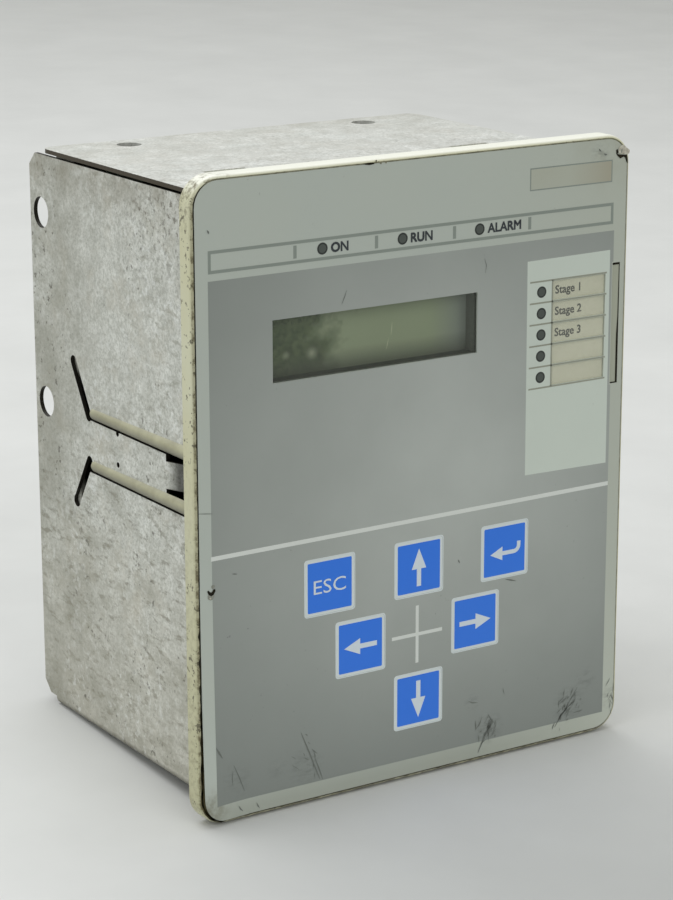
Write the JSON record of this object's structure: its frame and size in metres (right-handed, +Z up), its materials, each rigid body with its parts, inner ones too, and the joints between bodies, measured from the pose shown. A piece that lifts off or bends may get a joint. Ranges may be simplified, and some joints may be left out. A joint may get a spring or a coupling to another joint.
{
  "type": "protection relay",
  "caption": "Flush-mounted protection relay: moulded front frame with display, lamps and membrane keys on a folded sheet-steel case with side clips and rear terminals.",
  "frame": {"origin": "middle of the box's underside, on the plane of the front frame's lower edge", "axes": "front faces -Y, +Z up, +X to the right of the front"},
  "size_m": [0.141, 0.1046, 0.1756],
  "materials": {
    "frame_plastic": "moulded, yellowed cream, dirt along the edges",
    "overlay_print": "fine-grained printed film, scratched",
    "key_print": "blue print with a pale border",
    "clear_window": "clear polycarbonate",
    "card_paper": "yellowed card",
    "lamp_guide": "smoky light guide, unlit",
    "black_steel": "black painted bezel",
    "display_glass": "olive display without power",
    "white_plastic": "moulded",
    "circuit_board": "green solder mask on glass laminate",
    "plated_steel": "zinc plated",
    "black_plastic": "moulded black",
    "grey_cable": "flat grey lead",
    "brass_posts": "turned brass",
    "potting_case": "blue case",
    "core_steel": "pressed core",
    "copper_winding": "enamelled copper wire",
    "galvanised_sheet": "hot-dip zinc, stained",
    "terminal_green": "moulded green"
  },
  "bodies": {
    "case": {"front_frame": "frame_plastic", "overlay_film": "overlay_print", "display_window": "clear_window", "label_window": "clear_window", "legend_card": "card_paper", "status_light_pipes": "lamp_guide", "alarm_light_pipes": "lamp_guide", "lcd_bezel": "black_steel", "lcd_glass": "display_glass", "lcd_backlight": "white_plastic", "lcd_board": "circuit_board", "lcd_spacers": "white_plastic", "hmi_board": "circuit_board", "hmi_screws": "plated_steel", "tact_switches": "black_plastic", "led_chips": "white_plastic", "hmi_header": "black_plastic", "ribbon_cable": "grey_cable", "cpu_header": "black_plastic", "cpu_board": "circuit_board", "cpu_chips": "black_plastic", "cpu_screws": "plated_steel", "cpu_standoffs": "brass_posts", "io_board": "circuit_board", "io_standoffs": "brass_posts", "current_transformers": "potting_case", "output_relays": "white_plastic", "transformer_core": "core_steel", "transformer_coil": "copper_winding", "capacitors": "potting_case", "case_wrap": "galvanised_sheet", "top_plate": "galvanised_sheet", "rear_panel": "galvanised_sheet", "rear_screws": "plated_steel", "current_terminals": "black_plastic", "current_terminal_screws": "plated_steel", "signal_terminals": "terminal_green", "signal_terminal_screws": "plated_steel", "earth_stud": "brass_posts", "earth_washer": "plated_steel", "earth_nut": "brass_posts"},
    "esc_key": {"key_esc": "key_print"},
    "up_key": {"key_up": "key_print"},
    "enter_key": {"key_enter": "key_print"},
    "left_key": {"key_left": "key_print"},
    "right_key": {"key_right": "key_print"},
    "down_key": {"key_down": "key_print"}
  },
  "joints": [
    {"name": "esc_press", "type": "slide", "parent": "case", "child": "esc_key", "axis": [0, 1, 0], "range_m": [0, 0.0004], "stiffness_N_per_m": 4000},
    {"name": "up_press", "type": "slide", "parent": "case", "child": "up_key", "axis": [0, 1, 0], "range_m": [0, 0.0004], "stiffness_N_per_m": 4000},
    {"name": "enter_press", "type": "slide", "parent": "case", "child": "enter_key", "axis": [0, 1, 0], "range_m": [0, 0.0004], "stiffness_N_per_m": 4000},
    {"name": "left_press", "type": "slide", "parent": "case", "child": "left_key", "axis": [0, 1, 0], "range_m": [0, 0.0004], "stiffness_N_per_m": 4000},
    {"name": "right_press", "type": "slide", "parent": "case", "child": "right_key", "axis": [0, 1, 0], "range_m": [0, 0.0004], "stiffness_N_per_m": 4000},
    {"name": "down_press", "type": "slide", "parent": "case", "child": "down_key", "axis": [0, 1, 0], "range_m": [0, 0.0004], "stiffness_N_per_m": 4000}
  ]
}
